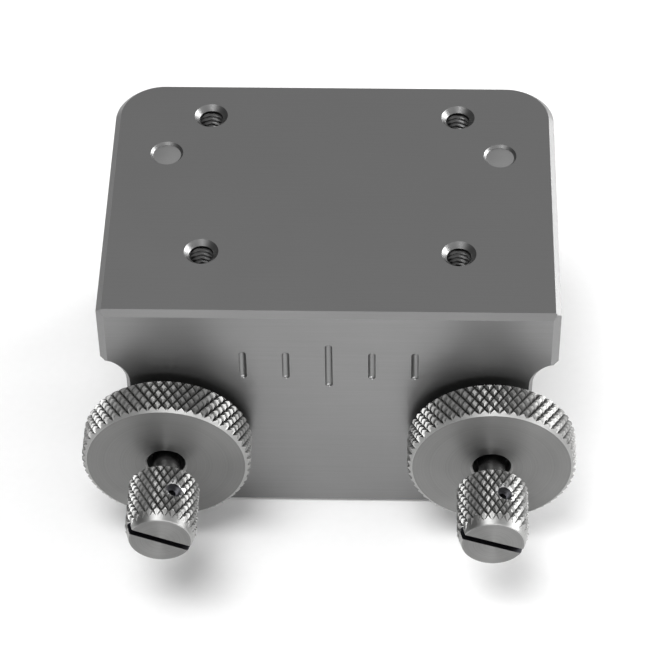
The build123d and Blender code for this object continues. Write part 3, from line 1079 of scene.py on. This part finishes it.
@dataclass
class SpindleUnit:
    """A clamping spindle with its knob and set screw.

    Attributes:
        side: Side of the holder that it is on.
        slot_angle: Direction of the knob's driver slot, in degrees from +X towards +Z.
    """

    side: Side
    slot_angle: float
    diamonds: int = 27
    row: float = 0.95 * MM
    groove: float = 0.45 * MM
    flat: float = 0.38
    face_radius: float = 4.4 * MM
    face_edge: float = 0.12 * MM
    face_band: float = 1.7 * MM
    band_step: float = 0.05 * MM
    band_rise: float = 0.45 * MM
    back_chamfer: float = 0.3 * MM
    slot_width: float = 1.0 * MM
    slot_depth: float = 1.4 * MM
    set_screw_depth: float = 5.6 * MM
    hole_radius: float = 1.06 * MM
    hole_bottom: float = 1.0 * MM
    hole_sink: float = 0.44 * MM
    hole_rise: float = 0.46 * MM
    spindle_edge: float = 0.3 * MM
    plain_shank: float = 13.8 * MM
    pitch: float = 0.7 * MM
    thread_depth: float = 0.38 * MM
    journal: float = 1.4 * MM
    journal_edge: float = 0.2 * MM

    def build_knob(self) -> bpy.types.Object:
        """Models the knob: knurled stock, turned band, driver slot and set screw hole."""
        node = f"{self.side.label}_knob"
        low, high = corners(node)
        axis = middle(node)
        radius = radius_of(node)
        length = high.y - low.y
        spindle = radius_of(f"{self.side.label}_spindle")
        seat = corners(f"{self.side.label}_spindle")[0].y - low.y
        knob = knurled_stock(f"{self.side.label}_knurled_knob", radius, self.diamonds, self.row,
                             self.groove, 6, self.flat, (axis.x, low.y - 0.4 * self.row, axis.z))
        outer = radius + ENVELOPE_OVERSHOOT
        back_reach = outer - radius + self.back_chamfer
        band = radius - self.face_edge
        envelope = turn_piece("envelope", [
            (0, 0), (self.face_radius - self.face_edge, 0), (self.face_radius, self.face_edge),
            (band, self.face_band), (band, self.face_band + self.band_step),
            (outer, self.face_band + self.band_rise), (outer, length - back_reach),
            (outer - back_reach, length), (spindle, length), (spindle, seat), (0, seat)],
            (axis.x, low.y, axis.z), 96)
        combine(knob, envelope, "INTERSECT")
        turn = math.radians(self.slot_angle)
        slot = box_stock("slot", (-2 * radius, -MM, -self.slot_width / 2),
                         (2 * radius, self.slot_depth, self.slot_width / 2))
        slot.rotation_euler = (0, -turn, 0)
        slot.location = (axis.x, low.y, axis.z)
        settle(slot)
        top = radius + self.hole_rise
        drill = turn_piece("drill", [
            (0, self.hole_bottom), (self.hole_radius, self.hole_bottom),
            (self.hole_radius, radius - self.hole_sink),
            (self.hole_radius + self.hole_sink + self.hole_rise, top), (0, top)], (0, 0, 0), 40)
        place = Matrix.Translation((axis.x, low.y + self.set_screw_depth, axis.z))
        lean = Matrix.Rotation(-turn, 4, "Y") @ Matrix.Rotation(math.pi / 2, 4, "X")
        drill.matrix_world = place @ lean
        combine(knob, join([slot, settle(drill)]), "DIFFERENCE")
        clean(knob)
        return smooth(knob, 25)

    def build_spindle(self) -> bpy.types.Object:
        """Models the spindle: a threaded bar with a plain journal at the rear."""
        node = f"{self.side.label}_spindle"
        low, high = corners(node)
        axis = middle(node)
        radius = radius_of(node)
        length = high.y - low.y
        edge, shank = self.spindle_edge, self.plain_shank
        tip_low, _ = corners(f"{self.side.label}_swivel_tip")
        thread_end = tip_low.y - 0.2 * MM - low.y
        thread = Thread(shank, thread_end - 0.4 * MM, radius - self.thread_depth, radius,
                        self.pitch)
        spindle = turn_piece(f"{self.side.label}_threaded_spindle", [
            (0, 0), (radius - edge, 0), (radius, edge), (radius, shank - edge),
            *thread.outline(radius - 0.02 * MM), (radius - 0.35 * MM, thread_end),
            (self.journal, thread_end), (self.journal, length - self.journal_edge),
            (self.journal - self.journal_edge, length), (0, length)],
            (axis.x, low.y, axis.z), 32)
        thread.roll(spindle, (axis.x, low.y, axis.z), radius - 0.2 * MM)
        return smooth(spindle)

    def dress(self, knob: bpy.types.Object, spindle: bpy.types.Object) -> None:
        """Finishes the knob, spindle and set screw and puts them on their body."""
        label = self.side.label
        low, _ = corners(f"{label}_knob")
        centre = middle(f"{label}_knob")
        knurl_start = self.face_band - (centre.y - low.y)
        dress(knob, WHEEL_FINISH.material(centre, f"_{label}_knob", radius_of(f"{label}_knob"),
                                          knurl_start))
        self._finish_recesses(knob, centre)
        fit(knob, f"{label}_spindle", [f"{label}_knob"])
        dress(spindle, STEEL_FINISH.material(middle(f"{label}_spindle"), f"_{label}_spindle"))
        fit(spindle, f"{label}_spindle", [f"{label}_spindle"])
        node = f"{label}_knob_set_screw"
        dress(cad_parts[node], DARK_FINISH.material(middle(node), f"_{label}_set_screw"))

    def _finish_recesses(self, knob: bpy.types.Object, centre: Vector) -> None:
        """Gives the knob's set screw hole the lighter pin finish, free of the painted groove
        shade, and paints shade into its slot with the dark finish.
        """
        label = self.side.label
        knob.data.materials.append(PIN_FINISH.material(centre, f"_{label}_knob_hole"))
        # Painted shade: the driver slot's faces take the dark finish.
        knob.data.materials.append(DARK_FINISH.material(centre, f"_{label}_knob_slot"))
        front = corners(f"{label}_knob")[0].y
        turn = math.radians(self.slot_angle)
        outwards = Vector((-math.sin(turn), 0, math.cos(turn)))
        hole = Vector((centre.x, front + self.set_screw_depth, centre.z))
        half_slot = self.slot_width / 2 + SKIN
        half_hole = self.hole_radius + self.hole_sink - SKIN
        for face in knob.data.polygons:
            reach = face.center - hole
            height = reach.dot(outwards)
            if height > 0 and (reach - outwards * height).length < half_hole:
                face.material_index = 1
            # Faces in the driver slot get the painted shade.
            elif abs(height) < half_slot and SKIN < face.center.y - front < self.slot_depth + SKIN:
                face.material_index = 2


@dataclass
class PinSet:
    """The locating posts and the guide rods, which are ground pins."""

    sides: int = 64
    post_rim: float = 0.13 * MM
    post_crown: float = 0.27 * MM
    end_insets: tuple[Point, ...] = ((0.42 * MM, 0), (0.2 * MM, 0.06 * MM), (0.0, 0.3 * MM))

    def build(self) -> None:
        """Models, finishes and fits the four pins."""
        for side in Side:
            for node, upright in ((f"{side.label}_locating_post", True),
                                  (f"{side.label}_guide_rod", False)):
                pin = self._build_pin(node, upright)
                dress(pin, PIN_FINISH.material(middle(node), f"_{node}"))
                fit(pin, "block", [node])

    def _build_pin(self, node: str, upright: bool) -> bpy.types.Object:
        """Models one pin.

        Args:
            node: The CAD node that it stands for.
            upright: Whether it is a post with a domed top, not a rod with two plain ends.

        Returns:
            The finished pin.
        """
        low, high = corners(node)
        centre = middle(node)
        radius = radius_of(node)
        length = high.z - low.z if upright else high.y - low.y
        front_end = [(0, 0), *((radius - inset, place) for inset, place in self.end_insets)]
        if upright:
            crown = self.post_crown
            rear_end = [(radius, length + self.post_rim), (0.8 * radius, length + 0.6 * crown),
                        (0.4 * radius, length + 0.9 * crown), (0, length + crown)]
        else:
            rear_end = [(reach, length - place) for reach, place in reversed(front_end)]
        pin = turn_piece(f"{node}_pin", front_end + rear_end, (0, 0, 0), self.sides)
        if upright:
            pin.rotation_euler = (math.pi / 2, 0, 0)
            pin.location = (centre.x, centre.y, low.z)
        else:
            pin.location = (centre.x, low.y, centre.z)
        return smooth(settle(pin))


class JawUnit:
    """The clamp jaw with its pad, keepers, inserts and tips, whose CAD shapes are kept."""

    def dress(self) -> None:
        """Finishes the jaw and the small parts on it."""
        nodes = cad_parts
        dress(nodes["clamp_jaw"], JAW_FINISH.material())
        dress(nodes["jaw_pad"], PAD_FINISH.material())
        screws = "jaw_pad_screws"
        dress(nodes[screws], STEEL_FINISH.material(middle(screws), "_pad_screws"))
        tip = TIP_FINISH.material()
        for side in Side:
            label = side.label
            dress(nodes[f"{label}_swivel_tip"], tip)
            for part, finish in (("keeper_plate", PIN_FINISH), ("keeper_screws", DARK_FINISH),
                                 ("jaw_insert", BRASS_FINISH), ("wall_bush", BRASS_FINISH)):
                node = f"{label}_{part}"
                dress(nodes[node], finish.material(middle(node), f"_{node}"))


# ----------------------------------------------------------------------------------------
# Studio
# ----------------------------------------------------------------------------------------

LIGHT_AIM: Place = (0, 0, -20 * MM)


@dataclass(frozen=True)
class Softbox:
    """A square soft light that looks at the object.

    Attributes:
        name: Name of the light.
        place: Where it stands.
        size: Width and height.
        power: Watts.
    """

    name: str
    place: Place
    size: Point
    power: float

    def hang(self) -> None:
        """Adds the light, turned towards the object."""
        light = bpy.data.lights.new(self.name, "AREA")
        light.shape = "RECTANGLE"
        light.size, light.size_y = self.size
        light.energy = self.power
        lamp = bpy.data.objects.new(self.name, light)
        bpy.context.scene.collection.objects.link(lamp)
        lamp.location = self.place
        aim = Vector(LIGHT_AIM) - Vector(self.place)
        lamp.rotation_euler = aim.to_track_quat("-Z", "Y").to_euler()


@dataclass
class Studio:
    """Floor, soft lights and camera.

    Attributes:
        left_tone: Brightness of the surroundings at the left.
        middle_tone: Their brightness in the middle.
        right_tone: Their brightness at the right.
        camera_place: Where the camera stands.
        lens: Focal length in millimetres.
        sensor: Width of the sensor in millimetres.
        yaw: Turn of the view from +Y towards +X, in degrees.
        pitch: Tilt of the view downwards, in degrees.
        roll: Turn of the camera about the view, in degrees.
    """

    left_tone: float = 0.08
    middle_tone: float = 0.52
    right_tone: float = 0.8
    camera_place: Place = (0.01002, -0.29274, 0.29013)
    lens: float = 154.6
    sensor: float = 36.0
    yaw: float = -1.92
    pitch: float = 47.76
    roll: float = -0.83

    def build(self) -> None:
        """Sets the studio up."""
        self._lay_floor()
        self._light()
        self._place_camera()

    def _lay_floor(self) -> None:
        """Lays a pale floor under the object."""
        deselect()
        bpy.ops.mesh.primitive_plane_add(size=6.0, location=(0, 0, cad_box[0][2]))
        floor = settle(named("floor"))
        bench = Bench("floor_paper")
        vector = bench.add("TexCoord").outputs["Object"]
        fibre = bench.noise(vector, (900, 900, 900), 3.0)
        bench.put(bench.shader.inputs["Base Color"],
                  bench.blend(fibre, (0.90, 0.90, 0.90, 1), (0.93, 0.93, 0.93, 1)))
        bench.shader.inputs["Roughness"].default_value = 0.8
        dress(floor, bench.material)

    def _light(self) -> None:
        """Hangs the softboxes and sets the dim surroundings."""
        world = bpy.data.worlds.new("studio")
        world.use_nodes = True
        tree = world.node_tree
        background = tree.nodes["Background"]
        direction = tree.nodes.new("ShaderNodeTexCoord")
        parts = tree.nodes.new("ShaderNodeSeparateXYZ")
        tree.links.new(direction.outputs["Generated"], parts.inputs[0])
        fade = tree.nodes.new("ShaderNodeValToRGB")
        fade.color_ramp.elements[0].color = (*(self.left_tone,) * 3, 1)
        fade.color_ramp.elements[1].color = (*(self.right_tone,) * 3, 1)
        middle_stop = fade.color_ramp.elements.new(0.5)
        middle_stop.color = (*(self.middle_tone,) * 3, 1)
        share = tree.nodes.new("ShaderNodeMapRange")
        share.inputs["From Min"].default_value = -1.0
        tree.links.new(parts.outputs["X"], share.inputs["Value"])
        tree.links.new(share.outputs["Result"], fade.inputs["Fac"])
        tree.links.new(fade.outputs["Color"], background.inputs["Color"])
        bpy.context.scene.world = world
        for softbox in (
                Softbox("overhead", (-0.25, -0.25, 1.2), (0.8, 0.6), 12.0),
                Softbox("right", (0.95, 0.35, 0.24), (0.8, 0.45), 9.5),
                Softbox("front", (0.12, -1.2, 0.16), (0.4, 0.3), 4.0),
                Softbox("front_right", (0.7, -0.85, 0.12), (0.5, 0.2), 2.5)):
            softbox.hang()

    def _place_camera(self) -> None:
        """Adds the camera and makes it the scene's."""
        yaw, pitch, roll = (math.radians(value) for value in (self.yaw, self.pitch, self.roll))
        ahead = Vector((math.sin(yaw) * math.cos(pitch), math.cos(yaw) * math.cos(pitch),
                        -math.sin(pitch)))
        level = Vector((math.cos(yaw), -math.sin(yaw), 0.0))
        upwards = level.cross(ahead)
        right = level * math.cos(roll) + upwards * math.sin(roll)
        top = upwards * math.cos(roll) - level * math.sin(roll)
        view = bpy.data.cameras.new("camera")
        view.lens = self.lens
        view.sensor_width = self.sensor
        view.clip_start = 0.01
        camera = bpy.data.objects.new("camera", view)
        bpy.context.scene.collection.objects.link(camera)
        turn = Matrix((right, top, -ahead)).transposed().to_4x4()
        camera.matrix_world = Matrix.Translation(self.camera_place) @ turn
        bpy.context.scene.camera = camera
        bpy.context.scene.view_settings.view_transform = "Standard"


def main() -> None:
    """Builds the holder and its studio, in order."""
    logging.basicConfig(level=logging.INFO, format="%(name)s %(message)s")
    Studio().build()
    block = Block()
    block.dress(block.build())
    for side, slot_angle in ((Side.LEFT, -24.0), (Side.RIGHT, -20.5)):
        wheel_unit = WheelUnit(side)
        wheel_unit.dress(wheel_unit.build_wheel(), wheel_unit.build_screw())
        spindle_unit = SpindleUnit(side, slot_angle)
        spindle_unit.dress(spindle_unit.build_knob(), spindle_unit.build_spindle())
    PinSet().build()
    JawUnit().dress()


if __name__ == "__main__":
    main()
